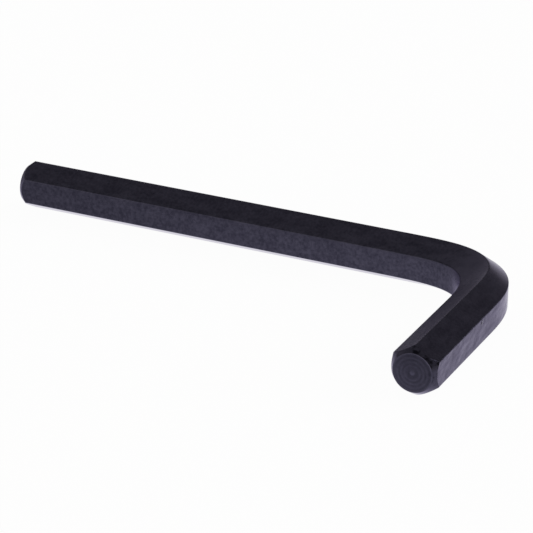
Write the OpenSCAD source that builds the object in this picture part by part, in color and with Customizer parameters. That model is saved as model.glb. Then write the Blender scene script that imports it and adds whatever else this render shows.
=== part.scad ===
// Hexagon key: one hexagonal steel bar with a turned tip at each end and one cold bend between two arms.
// It lies flat on the long corners of its underside, with the long arm along -X and the short arm along -Y.
// The origin is the middle of its footprint, on the surface that it lies on.

/* [Bar] */
// Width of the bar across two opposite flats
across_flats = 6; // [4:0.5:8]
// Radius of the six long corners that drawing leaves on the bar
corner_r = 0.25; // [0.1:0.05:0.5]

/* [Arms] */
// Overall length of the long arm, from its tip to the outer flat of the short arm
long_arm = 74.5; // [60:0.5:110]
// Overall length of the short arm, from its tip to the outer flat of the long arm
short_arm = 35.2; // [30:0.1:50]

/* [Bend] */
// Radius of the inner flat where the bend is tightest
inner_bend_r = 3.2; // [2:0.1:6]
// How strongly the curvature gathers in one place, from an even bend to a sharp one
bend_sharpness = 12.4; // [8:0.1:16]
// Place of the tightest curvature, as a share of the bend's length from the long arm
bend_peak = 0.645; // [0.5:0.005:0.75]
// How much the outer half of the bar thins where it is stretched most
outer_draw = 0.54; // [0:0.02:0.8]
// How much the inner half of the bar thickens where it is squeezed most
inner_swell = 0.84; // [0:0.02:1]
// How far each edge of the outer flat closes in where it is stretched most
outer_narrow = 0.14; // [0:0.02:0.3]
// How far each edge of the inner flat spreads where it is squeezed most
inner_spread = 0.2; // [0:0.02:0.3]

/* [Tips] */
// How far the rim of the long arm's end face lies inside the flats
long_rim_inset = 0.36; // [0.1:0.02:1]
// Angle between the long arm's axis and its turned chamfer
long_chamfer_angle = 38; // [20:1:60]
// How far the rim of the short arm's end face lies inside the flats
short_rim_inset = 0.46; // [0.1:0.02:1]
// Angle between the short arm's axis and its turned chamfer
short_chamfer_angle = 32; // [20:1:60]

/* [Hidden] */

sides = 6;
corner_steps = 4;
bend_steps = 48;
turning_stock = 1;
steel = [0.23, 0.22, 0.26];
$fn = 96;

half_flats = across_flats / 2;
sharp_corner = half_flats / cos(180 / sides);
half_side = half_flats * tan(180 / sides);
// Drawing rounds the sharp corners off, so the bar stands a little lower than they would reach
half_height = (half_flats - corner_r) / cos(180 / sides) + corner_r;

// The arms are measured from the point where their axes cross
long_reach = long_arm - half_flats;
short_reach = short_arm - half_flats;

// The middle line follows one smooth hump of curvature: 0 at both ends of the bend and 1 at its tightest
rise_power = bend_sharpness * bend_peak;
fall_power = bend_sharpness - rise_power;
function hump(share) = pow(share, rise_power) * pow(1 - share, fall_power);
tightness = [for (i = [0:bend_steps]) hump(i / bend_steps) / hump(bend_peak)];

// Totals of a list's first items, one for each item
function running_sum(list) =
    [for (i = 0, total = 0 * list[0]; i < len(list); total = total + list[i], i = i + 1) total + list[i]];

// Heading of the middle line at each station, from 0 on the long arm to 90 degrees on the short one
turned = running_sum([for (i = [0:bend_steps]) i == 0 ? 0 : tightness[i - 1] + tightness[i]]);
heading = [for (turn = turned) 90 * turn / turned[bend_steps]];

middle_bend_r = half_flats + inner_swell + inner_bend_r;
bend_step = middle_bend_r * PI / turned[bend_steps];

// Middle line of the bend, found by walking along its headings and then set on both arms' axes
walked = running_sum([for (i = [0:bend_steps]) i == 0 ? [0, 0]
    : bend_step * [cos((heading[i - 1] + heading[i]) / 2), -sin((heading[i - 1] + heading[i]) / 2)]]);
bend_start = [-walked[bend_steps][0], 0];
middle_line = [for (step = walked) bend_start + step];
bend_end = middle_line[bend_steps];

// Sharp corners of the section: the bend's outside is +X here, and the press widens, thins or swells each side
function section_corners(tight) =
    let (
        outer = half_flats - outer_draw * tight,
        inner = half_flats + inner_swell * tight,
        outer_half = half_side - outer_narrow * tight,
        inner_half = half_side + inner_spread * tight
    )
    [
        [outer, -outer_half], [outer, outer_half], [0, sharp_corner],
        [-inner, inner_half], [-inner, -inner_half], [0, -sharp_corner]
    ];

function unit(v) = v / norm(v);

// Points of the arc that rounds the corner at p, between the sides that come from a and go to b
function round_corner(a, p, b) =
    let (
        back = unit(a - p),
        ahead = unit(b - p),
        half_angle = acos(back * ahead) / 2,
        centre = p + unit(back + ahead) * corner_r / sin(half_angle),
        first = atan2(a[0] - p[0], p[1] - a[1]),
        sweep = 180 - 2 * half_angle
    )
    [for (i = [0:corner_steps]) centre + corner_r
        * [cos(first + sweep * i / corner_steps), sin(first + sweep * i / corner_steps)]];

// Outline of the bar's section, anticlockwise from the outer flat's lower edge
function section_outline(tight) =
    let (corners = section_corners(tight))
    [for (i = [0:sides - 1]) each round_corner(
        corners[(i + sides - 1) % sides], corners[i], corners[(i + 1) % sides])];

straight_outline = section_outline(0);
ring_size = len(straight_outline);

// One ring of the bend: the section stands square to the middle line at its station
function bend_ring(i) =
    [for (p = section_outline(tightness[i])) [
        middle_line[i][0] + p[0] * sin(heading[i]),
        middle_line[i][1] + p[0] * cos(heading[i]),
        p[1]
    ]];

// Blank that leaves a flat face with a cone behind it when a bar is cut to its shape, from z = 0 upwards
module turned_blank(rim_inset, chamfer_angle, length) {
    face_r = half_flats - rim_inset;
    stock_r = sharp_corner + turning_stock;
    cone_length = (stock_r - face_r) / tan(chamfer_angle);
    cylinder(h = cone_length, r1 = face_r, r2 = stock_r);
    translate([0, 0, cone_length])
        cylinder(h = length, r = stock_r);
}

// Straight arm that stands on its tip, with the bend's outside towards +X
module straight_arm(length, rim_inset, chamfer_angle) {
    intersection() {
        linear_extrude(height = length)
            polygon(straight_outline);
        turned_blank(rim_inset, chamfer_angle, length);
    }
}

module pressed_bend() {
    last = bend_steps * ring_size;
    points = [for (i = [0:bend_steps]) each bend_ring(i)];
    start_face = [for (j = [0:ring_size - 1]) j];
    end_face = [for (j = [ring_size - 1:-1:0]) last + j];
    side_faces = [for (i = [0:bend_steps - 1], j = [0:ring_size - 1])
        let (
            a = i * ring_size + j,
            b = i * ring_size + (j + 1) % ring_size
        )
        each [[a, a + ring_size, b], [b, a + ring_size, b + ring_size]]];
    polyhedron(points = points, faces = concat([start_face, end_face], side_faces), convexity = 4);
}

module hex_key() {
    color(steel)
        translate([long_arm / 2 - half_flats, short_arm / 2 - half_flats, half_height]) {
            translate([-long_reach, 0, 0])
                rotate([90, 0, 90])
                    straight_arm(long_reach + bend_start[0], long_rim_inset, long_chamfer_angle);
            pressed_bend();
            translate([0, -short_reach, 0])
                rotate([-90, 0, 0])
                    straight_arm(short_reach + bend_end[1], short_rim_inset, short_chamfer_angle);
        }
}

hex_key();
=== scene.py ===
from math import cos, pi, radians, sin, tan

import bpy
import numpy as np
from mathutils import Euler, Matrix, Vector


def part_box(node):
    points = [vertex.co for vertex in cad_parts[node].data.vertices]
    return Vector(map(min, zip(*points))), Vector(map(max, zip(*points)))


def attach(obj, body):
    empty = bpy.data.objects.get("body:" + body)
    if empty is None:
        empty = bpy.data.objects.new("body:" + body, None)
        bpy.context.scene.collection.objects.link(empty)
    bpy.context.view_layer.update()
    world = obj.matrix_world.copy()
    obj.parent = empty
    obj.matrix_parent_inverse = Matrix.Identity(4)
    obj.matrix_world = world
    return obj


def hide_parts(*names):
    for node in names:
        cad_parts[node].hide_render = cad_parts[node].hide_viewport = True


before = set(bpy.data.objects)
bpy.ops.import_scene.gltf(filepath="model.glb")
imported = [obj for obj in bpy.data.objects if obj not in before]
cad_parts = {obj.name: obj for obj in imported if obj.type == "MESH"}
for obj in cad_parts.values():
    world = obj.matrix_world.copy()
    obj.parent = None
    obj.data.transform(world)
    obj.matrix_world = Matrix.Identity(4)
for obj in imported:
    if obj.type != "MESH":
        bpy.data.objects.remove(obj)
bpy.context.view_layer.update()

# Camera
# It looks down on the key from the short arm's side, so that the near tip, the inside of both arms
# and the outer flat of the short arm all show. A long lens from 0.33 m away keeps the arms nearly parallel.
camera_aim = Vector((0.00507, 0.00333, 0.00343))
camera_distance = 0.3264
camera_azimuth = radians(25.51)
camera_elevation = radians(23.45)
camera_roll = radians(0.72)
film_width = 36
focal_length = 169.94

turn = (
    Euler((0, 0, camera_azimuth)).to_matrix()
    @ Euler((pi / 2 - camera_elevation, 0, 0)).to_matrix()
    @ Euler((0, 0, camera_roll)).to_matrix()
)
camera = bpy.data.objects.new("camera", bpy.data.cameras.new("camera"))
camera.data.sensor_width = film_width
camera.data.lens = focal_length
camera.data.clip_start = 0.01
camera.data.clip_end = 20
camera.location = camera_aim + turn @ Vector((0, 0, camera_distance))
camera.rotation_euler = turn.to_euler()
bpy.context.scene.collection.objects.link(camera)
bpy.context.scene.camera = camera


# Bent bar
# The whole key is one length of drawn hexagonal alloy steel. Both ends are faced and chamfered on a lathe,
# the bar is pressed round a former at one cold bend, and the finished key is hardened, blackened and oiled.

# Sizes of the bar and its arms. The solid's box says where the key lies.
across_flats = 0.006
corner_r = 0.00025
long_arm = 0.0745
short_arm = 0.0352
half_flats = across_flats / 2
half_side = half_flats * tan(pi / 6)
sharp_corner = half_flats / cos(pi / 6)
long_reach = long_arm - half_flats
short_reach = short_arm - half_flats
low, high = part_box("hex_key")
axes_cross = np.array((low + high) / 2) + [long_arm / 2 - half_flats, short_arm / 2 - half_flats, 0]

# Sizes of the bend: how the curvature gathers along it, and how the press changes the section
inner_bend_r = 0.0032
bend_sharpness = 12.4
bend_peak = 0.645
outer_draw = 0.00054
inner_swell = 0.00084
outer_narrow = 0.00014
inner_spread = 0.0002
bend_stations = 141


def running_sum(steps):
    """Total of all steps before each station, with 0 at the first one."""
    return np.concatenate([np.zeros_like(steps[:1]), np.cumsum(steps, axis=0)])


def bend_line():
    """The bend's middle line. Its curvature is the hump share^a (1 - share)^b. The running sum of curvature
    is the heading, scaled to a quarter turn, and the running sum of short steps along each heading is the
    line. Gives tightness (1 at the tightest), heading, place in the plane of the bend, and distance along
    it."""
    share = np.linspace(0, 1, bend_stations)
    rise, fall = bend_sharpness * bend_peak, bend_sharpness * (1 - bend_peak)
    tightness = (share / bend_peak) ** rise * ((1 - share) / (1 - bend_peak)) ** fall
    turned = running_sum((tightness[:-1] + tightness[1:]) / 2)
    heading = turned / turned[-1] * pi / 2
    step = (half_flats + inner_swell + inner_bend_r) * heading[-1] / turned[-1]
    middle = (heading[:-1] + heading[1:]) / 2
    place = running_sum(step * np.stack([np.cos(middle), -np.sin(middle)], axis=1))
    place[:, 0] -= place[-1, 0]
    return tightness, heading, place, step * np.arange(bend_stations)


# Points of the section: steps round each long corner, and shares along each flat, one close to either end
corner_steps = 4
flat_points = 13
flat_edge = 0.012
flat_shares = np.concatenate([[flat_edge], np.linspace(0, 1, flat_points + 2)[1:-1], [1 - flat_edge]])


def unit(vectors):
    """Vectors of length 1 in the same directions."""
    return vectors / np.linalg.norm(vectors, axis=-1, keepdims=True)


def section(tightness):
    """Outlines of the bar, one for each value of tightness, as points (out, up) from the middle line.
    The sharp corners lie on a hexagon that narrows and thins outside the bend and swells inside it. Each is
    rounded by an arc whose normals turn from one side's normal to the next, and evenly spread points fill
    the sides between the arcs. The outline runs anticlockwise from the outer flat's lower edge."""
    tight = np.asarray(tightness, float)
    outer, inner = half_flats - outer_draw * tight, half_flats + inner_swell * tight
    outer_half, inner_half = half_side - outer_narrow * tight, half_side + inner_spread * tight
    top, middle = np.full_like(tight, sharp_corner), np.zeros_like(tight)
    corners = np.stack([
        np.stack([outer, outer, middle, -inner, -inner, middle], axis=-1),
        np.stack([-outer_half, outer_half, top, inner_half, -inner_half, -top], axis=-1),
    ], axis=-1)
    ahead = unit(np.roll(corners, -1, axis=1) - corners)
    back = -np.roll(ahead, 1, axis=1)
    half_angle = np.arccos(np.sum(ahead * back, axis=-1)) / 2
    centre = corners + unit(ahead + back) * (corner_r / np.sin(half_angle))[..., None]
    first = np.arctan2(back[..., 0], -back[..., 1])
    angle = first[..., None] + (pi - 2 * half_angle)[..., None] * np.linspace(0, 1, corner_steps + 1)
    arcs = centre[:, :, None] + corner_r * np.stack([np.cos(angle), np.sin(angle)], axis=-1)
    start, end = arcs[:, :, -1:], np.roll(arcs, -1, axis=1)[:, :, :1]
    sides = start + (end - start) * flat_shares[:, None]
    return np.concatenate([arcs, sides], axis=2).reshape(len(tight), -1, 2)


# Sizes of the turned tips: end faces and chamfers, the small radii that wear leaves on them, and the rings
# that the facing tool leaves
long_rim_inset = 0.00036
long_chamfer_angle = radians(38)
short_rim_inset = 0.00046
short_chamfer_angle = radians(32)
rim_round = 0.0002
scallop_round = 0.00008
ring_pitch = 0.0005
first_ridge = 0.00095
ring_depth = 0.000022
pip_r = 0.0003
long_turning_centre = np.zeros(2)
short_turning_centre = np.array([0.00006, 0.00015])

# Rows of points on a tip: over the face, round the rim, down the cone, round its far edge, and behind that
face_rows = 56
rim_rows = 9
cone_rows = 4
scallop_rows = 5
behind_gap = 0.00002
tip_stretch = 1.1
straight = section([0.0])[0]


def fillet(corner, incoming, outgoing, radius, steps):
    """Arc that rounds the turn at a corner of a path: it leaves the incoming direction at one tangent point
    and meets the outgoing one at the other. Directions are unit vectors in the plane (depth, radius)."""
    turn_angle = np.arccos(np.dot(incoming, outgoing))
    inwards = (outgoing - incoming * np.cos(turn_angle)) / np.sin(turn_angle)
    swept = np.linspace(0, turn_angle, steps)[:, None, None]
    start = corner - incoming * radius * np.tan(turn_angle / 2)
    return start + radius * (np.sin(swept) * incoming + (1 - np.cos(swept)) * inwards)


def facing_hollow(radius):
    """Depth of the end face under its ridges. Each hollow is a parabola between two ridges one pitch apart.
    Inside the first ridge the floor of its hollow runs level to a low pip in the middle, which rises as a
    squared cosine."""
    in_hollow = (radius - first_ridge) / ring_pitch % 1
    hollows = 1 - (2 * in_hollow - 1) ** 2
    pip = np.cos(pi / 2 * np.clip(radius / pip_r, 0, 1)) ** 2
    return ring_depth * np.where(radius < first_ridge - ring_pitch / 2, 1 - pip, hollows)


def turned_tip(rim_inset, chamfer_angle, centre):
    """One tip, as rings of points from the middle of its end face to the full bar. Along each ray from the
    turning centre the tip's outline is a path: shallow hollows side by side over the face, the rim's fillet,
    the cone, and the fillet to the bar's own side. Gives each point's depth behind the face, its place in the
    section, and for each ring three shares: on the end face, on the rim (a half wave over its fillet), which
    is painted lighter for wear and with a painted highlight, and on turned steel."""
    face_r = half_flats - rim_inset
    reach = np.linalg.norm(straight - centre, axis=1)
    ray = (straight - centre) / reach[:, None]
    across, along = np.array([0, 1.0]), np.array([1.0, 0])
    cone = np.array([cos(chamfer_angle), sin(chamfer_angle)])
    rim = np.stack([np.zeros_like(reach), np.full_like(reach, face_r)], axis=1)
    scallop = np.stack([(reach - face_r) / tan(chamfer_angle), reach], axis=1)
    rim_arc = fillet(rim, across, cone, rim_round, rim_rows)
    scallop_arc = fillet(scallop, cone, along, scallop_round, scallop_rows)
    face_radii = np.linspace(0, rim_arc[0, 0, 1], face_rows)[1:-1]
    one_ray = np.stack([facing_hollow(face_radii), face_radii], axis=1)
    face = one_ray[:, None, :] + np.zeros((1, len(reach), 1))
    down_cone = np.linspace(0, 1, cone_rows + 2)[1:-1, None, None]
    cone_side = rim_arc[-1] + down_cone * (scallop_arc[0] - rim_arc[-1])
    behind = scallop_arc[-1:] + np.array([behind_gap, 0])
    full = np.stack([np.full_like(reach, scallop[:, 0].max() * tip_stretch), reach], axis=1)[None]
    path = np.concatenate([face, rim_arc, cone_side, scallop_arc, behind, full])
    row = np.arange(len(path))
    round_rim = np.clip((row - len(face)) / (rim_rows - 1), 0, 1)
    shares = np.stack([row < len(face), np.sin(pi * round_rim), row < len(path) - 2], axis=1)
    return path[..., 0], centre + ray * path[..., 1:], shares


long_depth, long_section, long_shares = turned_tip(
    long_rim_inset, long_chamfer_angle, long_turning_centre)
short_depth, short_section, short_shares = turned_tip(
    short_rim_inset, short_chamfer_angle, short_turning_centre)
tightness, heading, place, walked = bend_line()
bend_section = section(tightness)
arm_rings = 10


def straight_rows(start, end):
    """Distances of the rings that carry a straight arm between two stations, without the end ones."""
    return np.linspace(start, end, arm_rings + 2)[1:-1]


# The bar before it is bent: distance along it, and place in its section, of every point of every ring
long_straight = long_reach + place[0, 0]
short_straight = short_reach + place[-1, 1]
bar_length = long_straight + walked[-1] + short_straight
long_arm_rows = straight_rows(long_depth[-1, 0], long_straight)
short_arm_rows = straight_rows(long_straight + walked[-1], bar_length - short_depth[-1, 0])
columns = len(straight)
along = np.concatenate([
    long_depth,
    long_arm_rows[:, None] + np.zeros(columns),
    (long_straight + walked)[:, None] + np.zeros(columns),
    short_arm_rows[:, None] + np.zeros(columns),
    bar_length - short_depth[::-1],
])
across = np.concatenate([
    long_section,
    np.broadcast_to(straight, (arm_rings, columns, 2)),
    bend_section,
    np.broadcast_to(straight, (arm_rings, columns, 2)),
    short_section[::-1],
])
unturned = np.zeros((bend_stations + 2 * arm_rings, 3))
turning_shares = np.concatenate([long_shares, unturned, short_shares[::-1]])


def bend_bar(along, across):
    """Places of points given in the straight bar. The middle line runs along +X, through the bend and along
    -Y, and a point keeps its place in the section, which stays square to that line: out is to its left."""
    in_bend = along - long_straight
    after = np.maximum(in_bend - walked[-1], 0)
    turn_here = np.interp(in_bend, walked, heading)
    x = np.interp(in_bend, walked, place[:, 0]) + np.minimum(in_bend, 0)
    y = np.interp(in_bend, walked, place[:, 1]) - after
    out, up = across[..., 0], across[..., 1]
    return axes_cross + np.stack([x + out * np.sin(turn_here), y + out * np.cos(turn_here), up], axis=-1)


# The skin: four-sided faces between neighbouring rings, and a fan round the turning centre of each end face
rings = bend_bar(along, across)
poles = bend_bar(np.array([0, bar_length]), np.array([long_turning_centre, short_turning_centre]))
ring_total = len(rings)
here = np.arange(ring_total * columns).reshape(ring_total, columns)
beside = np.roll(here, -1, axis=1)
quads = np.stack([here[:-1], beside[:-1], beside[1:], here[1:]], axis=-1).reshape(-1, 4)
pole_start = ring_total * columns
start_fan = np.stack([np.full(columns, pole_start), beside[0], here[0]], axis=-1)
end_fan = np.stack([np.full(columns, pole_start + 1), here[-1], beside[-1]], axis=-1)

bar_mesh = bpy.data.meshes.new("key_bar")
bar_mesh.from_pydata(
    np.concatenate([rings.reshape(-1, 3), poles]).tolist(), [],
    quads.tolist() + start_fan.tolist() + end_fan.tolist(),
)
bar_mesh.shade_smooth()

# What the finish follows: each point's place in the straight bar, and its shares of the end faces, the rims,
# which are painted lighter for wear and with a painted highlight, turned steel, the stretch near the tightest
# bend, and the two upright flats, which fade out over their corners
stretch_reach = 0.012
straight_place = np.concatenate([
    np.concatenate([along[..., None], across], axis=-1).reshape(-1, 3),
    [[0, 0, 0], [bar_length, 0, 0]],
])
bar_mesh.attributes.new("bar_place", "FLOAT_VECTOR", "POINT").data.foreach_set(
    "vector", straight_place.astype(np.float32).ravel())
faced, rim, turned = np.repeat(turning_shares, columns, axis=0).T
tightest = long_straight + walked[-1] * bend_peak
strain = np.exp(-((along - tightest) / stretch_reach) ** 2).reshape(-1)
corner_fade, whole_flat = np.linspace(0, 1, corner_steps + 1), np.ones(len(flat_shares))
half_outline = [corner_fade, whole_flat, 1 - corner_fade, 0 * whole_flat, 0 * corner_fade, 0 * whole_flat]
upright = np.tile(np.concatenate(half_outline), 2 * ring_total)
for name, share, at_pole in (
    ("faced", faced, 1), ("rim", rim, 0), ("turned", turned, 1),
    ("strain", strain, 0), ("upright", upright, 0),
):
    bar_mesh.attributes.new(name, "FLOAT", "POINT").data.foreach_set(
        "value", np.append(share, [at_pole, at_pole]).astype(np.float32))


class Wire:
    """The output socket of a shader node. Arithmetic on wires and numbers adds Math nodes."""

    def __init__(self, socket):
        self.socket = socket
        self.tree = socket.id_data

    @staticmethod
    def node(tree, kind, settings=None, inputs=None, out=0):
        """Adds a node. Its settings come first, then the value or the link of each named socket."""
        node = tree.nodes.new(kind)
        for name, value in (settings or {}).items():
            setattr(node, name, value)
        for name, value in (inputs or {}).items():
            if isinstance(value, Wire):
                tree.links.new(value.socket, node.inputs[name])
            else:
                node.inputs[name].default_value = value
        return Wire(node.outputs[out]) if node.outputs else node

    def math(self, operation, *values):
        """A Math node on the given wires and numbers."""
        return Wire.node(self.tree, "ShaderNodeMath", {"operation": operation}, dict(enumerate(values)))

    def ramp(self, start, end, low=0.0, high=1.0):
        """Goes smoothly from low, where this wire is at start, to high, where it is at end."""
        return Wire.node(self.tree, "ShaderNodeMapRange", {"interpolation_type": "SMOOTHSTEP"}, {
            "Value": self, "From Min": start, "From Max": end, "To Min": low, "To Max": high})

    def scaled(self, vector):
        """A vector or colour, a wire or three numbers, times this wire."""
        return Wire.node(self.tree, "ShaderNodeVectorMath", {"operation": "SCALE"}, {0: vector, 3: self})

    def distance(self, point):
        """Distance of this wire's place from a point."""
        return Wire.node(
            self.tree, "ShaderNodeVectorMath", {"operation": "DISTANCE"}, {0: self, 1: point}, out=1)

    def parts(self):
        """The three numbers of this wire's vector."""
        return [Wire.node(self.tree, "ShaderNodeSeparateXYZ", {}, {0: self}, out=k) for k in range(3)]

    def __add__(self, other):
        return self.math("ADD", self, other)

    __radd__ = __add__

    def __sub__(self, other):
        return self.math("SUBTRACT", self, other)

    def __rsub__(self, other):
        return self.math("SUBTRACT", other, self)

    def __mul__(self, other):
        return self.math("MULTIPLY", self, other)

    __rmul__ = __mul__

    def __truediv__(self, other):
        return self.math("DIVIDE", self, other)

    def __rtruediv__(self, other):
        return self.math("DIVIDE", other, self)


# Tones and gloss of the scale
oxide_dark = (0.035, 0.033, 0.053, 1)
oxide_light = (0.064, 0.060, 0.091, 1)
edge_tint = (0.885, 0.85, 1.0, 1)
oxide_roughness = 0.22
fine_roughness = 0.06
inner_roughness = 0.18
inner_unevenness = 0.5
underside_gloss = 0.19

# Where on the section the finish changes: towards the inner side, measured outwards, and towards the strip
# under the lowest corners, measured upwards
inner_from = half_side / 4
inner_full = -half_side / 2
underside_from = -0.9 * half_side
underside_full = -1.05 * half_side

# Sizes of its grain and patches, which drawing has pulled along the bar, and how far they change the tone
scale_grain = 0.0004
fine_grain = 0.00016
patch_size = 0.0013
patch_pull = 2.0
ragged = {"Detail": 1.5, "Roughness": 0.6}
rounded = {"Detail": 1.0, "Roughness": 0.5}
even_mottle = 1.8
upright_mottle = 2.4
patch_weight = 0.85
inner_calm = 0.65
turned_calm = 0.6

# Heights of its relief, with the streaks that the press leaves across the stretched side
even_relief = 0.0000006
upright_relief = 0.000013
fine_share = 0.4
patch_relief = 0.00015
streak_length = 0.00035
streak_width = 0.0016
streak_relief = 0.00001

# Marks of turning, with painted light: rings on the end faces painted lighter on their ridges and darker in
# their hollows, unevenly strong, a painted highlight on each pip, end faces darker towards their upper outer
# side, rims painted lighter for wear and with a painted highlight, and spots of thick scale on the chamfers
face_tone = 0.81
face_lean = 50.0
ring_contrast = 0.12
ring_unevenness = 4.0
pip_glint = 3.8
pip_full = 0.00015
pip_edge = 0.00045
rim_wear_and_glint = 0.18
chamfer_tone = 1.03
chamfer_darkening = 0.8
scale_side = (0.55, 0.835)
scale_bias = 0.16
spot_size = 0.0006
spot_start = 0.55
spot_full = 0.8

# A fleck of thick scale on the short arm's outer flat
fleck_place = (bar_length - 0.015, half_flats, 0.0012)
fleck_r = 0.00042
fleck_core = 0.00014
fleck_darkening = 0.7
fleck_relief = 0.00012


def black_oxide():
    """Black oxide on drawn steel: a thin dark scale with a violet cast, mottled grain by grain and a little
    oily. It is even on the sloping flats, rougher on the upper inner one and glossier underneath, and a
    little dented on the upright ones. The outside of the bend is streaked, and the tips show how they were
    turned, with painted light and shade on the rings of their end faces and painted highlights on their pips
    and rims."""
    finish = bpy.data.materials.new("black_oxide")
    finish.use_nodes = True
    tree = finish.node_tree
    tree.nodes.clear()

    def noise(place, size, character):
        """Soft random values about 0.5, at the given size."""
        return Wire.node(tree, "ShaderNodeTexNoise", {}, {"Vector": place, "Scale": 1 / size, **character})

    place = Wire.node(tree, "ShaderNodeAttribute", {"attribute_name": "bar_place"}, out=1)
    faced, rim, turned, strain, upright = (
        Wire.node(tree, "ShaderNodeAttribute", {"attribute_name": name}, out=2)
        for name in ("faced", "rim", "turned", "strain", "upright"))
    distance, out, up = place.parts()
    pulled = Wire.node(
        tree, "ShaderNodeVectorMath", {"operation": "MULTIPLY"}, {0: place, 1: (1 / patch_pull, 1, 1)})
    grain = noise(place, scale_grain, ragged)
    fine = noise(place, fine_grain, rounded)
    spots = noise(place, spot_size, rounded)
    patches = noise(pulled, patch_size, rounded)
    pressed = Wire.node(tree, "ShaderNodeCombineXYZ", {}, {
        0: distance * (1 / streak_length), 1: out * (1 / streak_width), 2: up * (1 / streak_width)})
    streaks = noise(pressed, 1, ragged)

    # Rings of the facing tool, as painted light and shade: a cosine of the distance from the turning centre,
    # lighter on the ridges and darker in the hollows, and inside the first ridge a painted highlight on the
    # pip that fades to a hollow's -1. They are stronger in some places than in others, at random.
    in_section = Wire.node(tree, "ShaderNodeCombineXYZ", {}, {1: out, 2: up})
    from_centre = in_section.distance((0, *short_turning_centre))
    tool_rings = from_centre.math("COSINE", (from_centre - first_ridge) * (2 * pi / ring_pitch))
    pip = from_centre.ramp(pip_full, pip_edge, pip_glint, -1.0)
    inside = from_centre.math("LESS_THAN", from_centre, first_ridge - ring_pitch / 2)
    ring_light_and_shade = inside * pip + (1 - inside) * tool_rings
    ring_strength = 1 + ring_unevenness * (spots - 0.5)
    # The end faces are also made darker towards their upper outer side.
    on_face = face_tone * (1 + ring_contrast * ring_light_and_shade * ring_strength - (out + up) * face_lean)

    # Thick scale has gathered in spots on each chamfer, most of them towards the upper outer flat
    sideways = (out * scale_side[0] + up * scale_side[1]) / from_centre
    pooled = (spots + scale_bias * sideways).ramp(spot_start, spot_full)
    # The rim is painted lighter, partly for wear and partly as a painted highlight that is strongest towards
    # the upper outer flat.
    on_cone = chamfer_tone - chamfer_darkening * pooled * (1 - rim) + rim_wear_and_glint * rim * (1 + sideways)
    fleck = place.distance(fleck_place).ramp(fleck_r, fleck_core)
    tone = 1 + faced * (on_face - 1) + (turned - faced) * (on_cone - 1) - fleck_darkening * fleck

    # Where on the section: the bar's inner side, its upper half, and the strip under its lowest corners
    inner = out.ramp(inner_from, inner_full)
    upper = up.ramp(0.0, half_side)
    underneath = up.ramp(underside_from, underside_full)
    spread = (even_mottle + (upright_mottle - even_mottle) * upright) * (1 - turned_calm * turned)
    patching = patch_weight * (1 - inner_calm * inner * upright) * (patches - 0.5)
    mottle = (grain - 0.5 + patching) * spread + 0.5
    scale = Wire.node(
        tree, "ShaderNodeMix", {"data_type": "RGBA"}, {0: mottle, 6: oxide_dark, 7: oxide_light}, out=2)
    depth = (even_relief + (upright_relief - even_relief) * upright) * (1 - turned)
    dents = patches * (1 - inner) * patch_relief + streaks * strain * streak_relief + fleck * fleck_relief
    relief = (grain + fine_share * fine) * depth + dents * upright * (1 - turned)
    normal = Wire.node(tree, "ShaderNodeBump", {}, {"Height": relief, "Distance": 1.0, "Strength": 1.0})
    roughness = (
        oxide_roughness + fine_roughness * (fine - 0.5)
        + inner * upper * (inner_roughness + inner_unevenness * (grain - 0.5))
        - underside_gloss * underneath)
    shader = Wire.node(tree, "ShaderNodeBsdfPrincipled", {}, {
        "Base Color": tone.scaled(scale),
        "Metallic": 1.0,
        "Roughness": roughness,
        "Specular Tint": edge_tint,
        "Normal": normal,
    })
    Wire.node(tree, "ShaderNodeOutputMaterial", {}, {"Surface": shader})
    return finish


bar_mesh.materials.append(black_oxide())
key_bar = bpy.data.objects.new("key_bar", bar_mesh)
bpy.context.scene.collection.objects.link(key_bar)
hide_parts("hex_key")
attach(key_bar, "root")


# Floor
# A sheet of white card that the key lies on, matt and lit so strongly that it photographs as plain white.
# The key mirrors it: the card is brightest near the bend and under the long arm, and dims away from them.
floor_half = 2.0
card_white = (0.92, 0.92, 0.92, 1)
floor_shadow = 0.03
mirrored_shadow = 0.07
brightest_spot = Vector((0.034, 0, 0))
far_from = 0.01
far_full = 0.085
far_dimming = 0.33


def light_path(tree, kind):
    """1 for the rays of one kind: 0 is seen directly, 3 is seen in a polished surface."""
    return Wire.node(tree, "ShaderNodeLightPath", out=kind)


def add_floor():
    """A flat square under the key. Seen directly it is nearly plain white, with a share that takes shadow."""
    mesh = bpy.data.meshes.new("floor")
    corner = floor_half
    mesh.from_pydata(
        [(-corner, -corner, 0), (corner, -corner, 0), (corner, corner, 0), (-corner, corner, 0)],
        [], [(0, 1, 2, 3)],
    )
    card = bpy.data.materials.new("white_card")
    card.use_nodes = True
    tree = card.node_tree
    tree.nodes.clear()
    seen, mirrored = light_path(tree, 0), light_path(tree, 3)
    place = Wire.node(tree, "ShaderNodeTexCoord", out=3)
    far = place.distance(brightest_spot).ramp(far_from, far_full, 0.0, far_dimming)
    behind_line = place.parts()[1] - axes_cross[1]
    off_line = behind_line.math("ABSOLUTE", behind_line).ramp(half_flats, across_flats)
    white = (1 - far * off_line * mirrored).scaled((1, 1, 1))
    matt = Wire.node(tree, "ShaderNodeBsdfDiffuse", {}, {"Color": card_white})
    plain = Wire.node(tree, "ShaderNodeEmission", {}, {"Color": white, "Strength": 1.0})
    plainly = seen * (1 - floor_shadow) + mirrored * (1 - mirrored_shadow * off_line)
    both = Wire.node(tree, "ShaderNodeMixShader", {}, {0: plainly, 1: matt, 2: plain})
    Wire.node(tree, "ShaderNodeOutputMaterial", {}, {"Surface": both})
    mesh.materials.append(card)
    floor = bpy.data.objects.new("floor", mesh)
    bpy.context.scene.collection.objects.link(floor)


add_floor()

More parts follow.
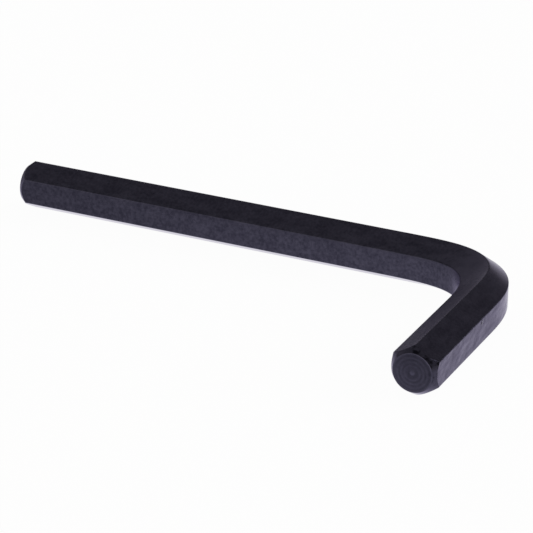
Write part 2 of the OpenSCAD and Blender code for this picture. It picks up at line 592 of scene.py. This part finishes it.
# Light
# A photographer's tent of white cloth: bright in front, softer behind, with a grey screen behind on the left
# that glows a little in its middle, dim above, and one large soft lamp behind the key on the right.
tent_colour = (1.0, 0.99, 0.93)
back_low = 0.62
screen_low = 0.50
screen_from = 0.35
screen_full = 0.6
front_low = 1.25
front_from = 0.3
front_full = 0.7
tent_dim = 0.22
back_fade = 0.26
front_fade = 1.0
screen_glow = 0.28
glow_edge = 0.85
glow_middle = Vector((-0.75, 0.48, 0.45)).normalized()
overhead_glow = 0.11
overhead_from = 0.6
lamp_strength = 2.0
lamp_softness = radians(45)
lamp_from = Vector((0.8, 0.5, 0.38))


def add_tent():
    """World colour by direction. At the level of the table it goes from the back's brightness to the
    screen's on the left and to the front's in front, and from there it fades upwards to the dim part. The
    screen's glow fades with the angle from its middle, and the top is a little brighter again."""
    world = bpy.data.worlds.new("tent")
    world.use_nodes = True
    bpy.context.scene.world = world
    tree = world.node_tree
    tree.nodes.clear()
    direction = Wire.node(tree, "ShaderNodeTexCoord", out=0)
    right, back, height = direction.parts()
    front = (-1 * back).ramp(front_from, front_full)
    behind = (-1 * right).ramp(screen_from, screen_full, back_low, screen_low)
    table_level = behind + front * (front_low - behind)
    fade = back_fade + front * (front_fade - back_fade)
    cloth = height.ramp(0.0, fade, table_level, tent_dim)
    towards_glow = Wire.node(
        tree, "ShaderNodeVectorMath", {"operation": "DOT_PRODUCT"}, {0: direction, 1: glow_middle}, out=1)
    glow = towards_glow.ramp(glow_edge, 1.0, 0.0, screen_glow)
    overhead = height.ramp(overhead_from, 1.0, 0.0, overhead_glow)
    light = Wire.node(tree, "ShaderNodeBackground", {}, {
        "Color": (cloth + overhead + glow).scaled(tent_colour), "Strength": 1.0})
    Wire.node(tree, "ShaderNodeOutputWorld", {}, {"Surface": light})


add_tent()
lamp = bpy.data.objects.new("lamp", bpy.data.lights.new("lamp", "SUN"))
lamp.data.energy = lamp_strength
lamp.data.angle = lamp_softness
lamp.rotation_euler = lamp_from.to_track_quat("Z", "Y").to_euler()
bpy.context.scene.collection.objects.link(lamp)

bpy.context.scene.view_settings.view_transform = "Standard"
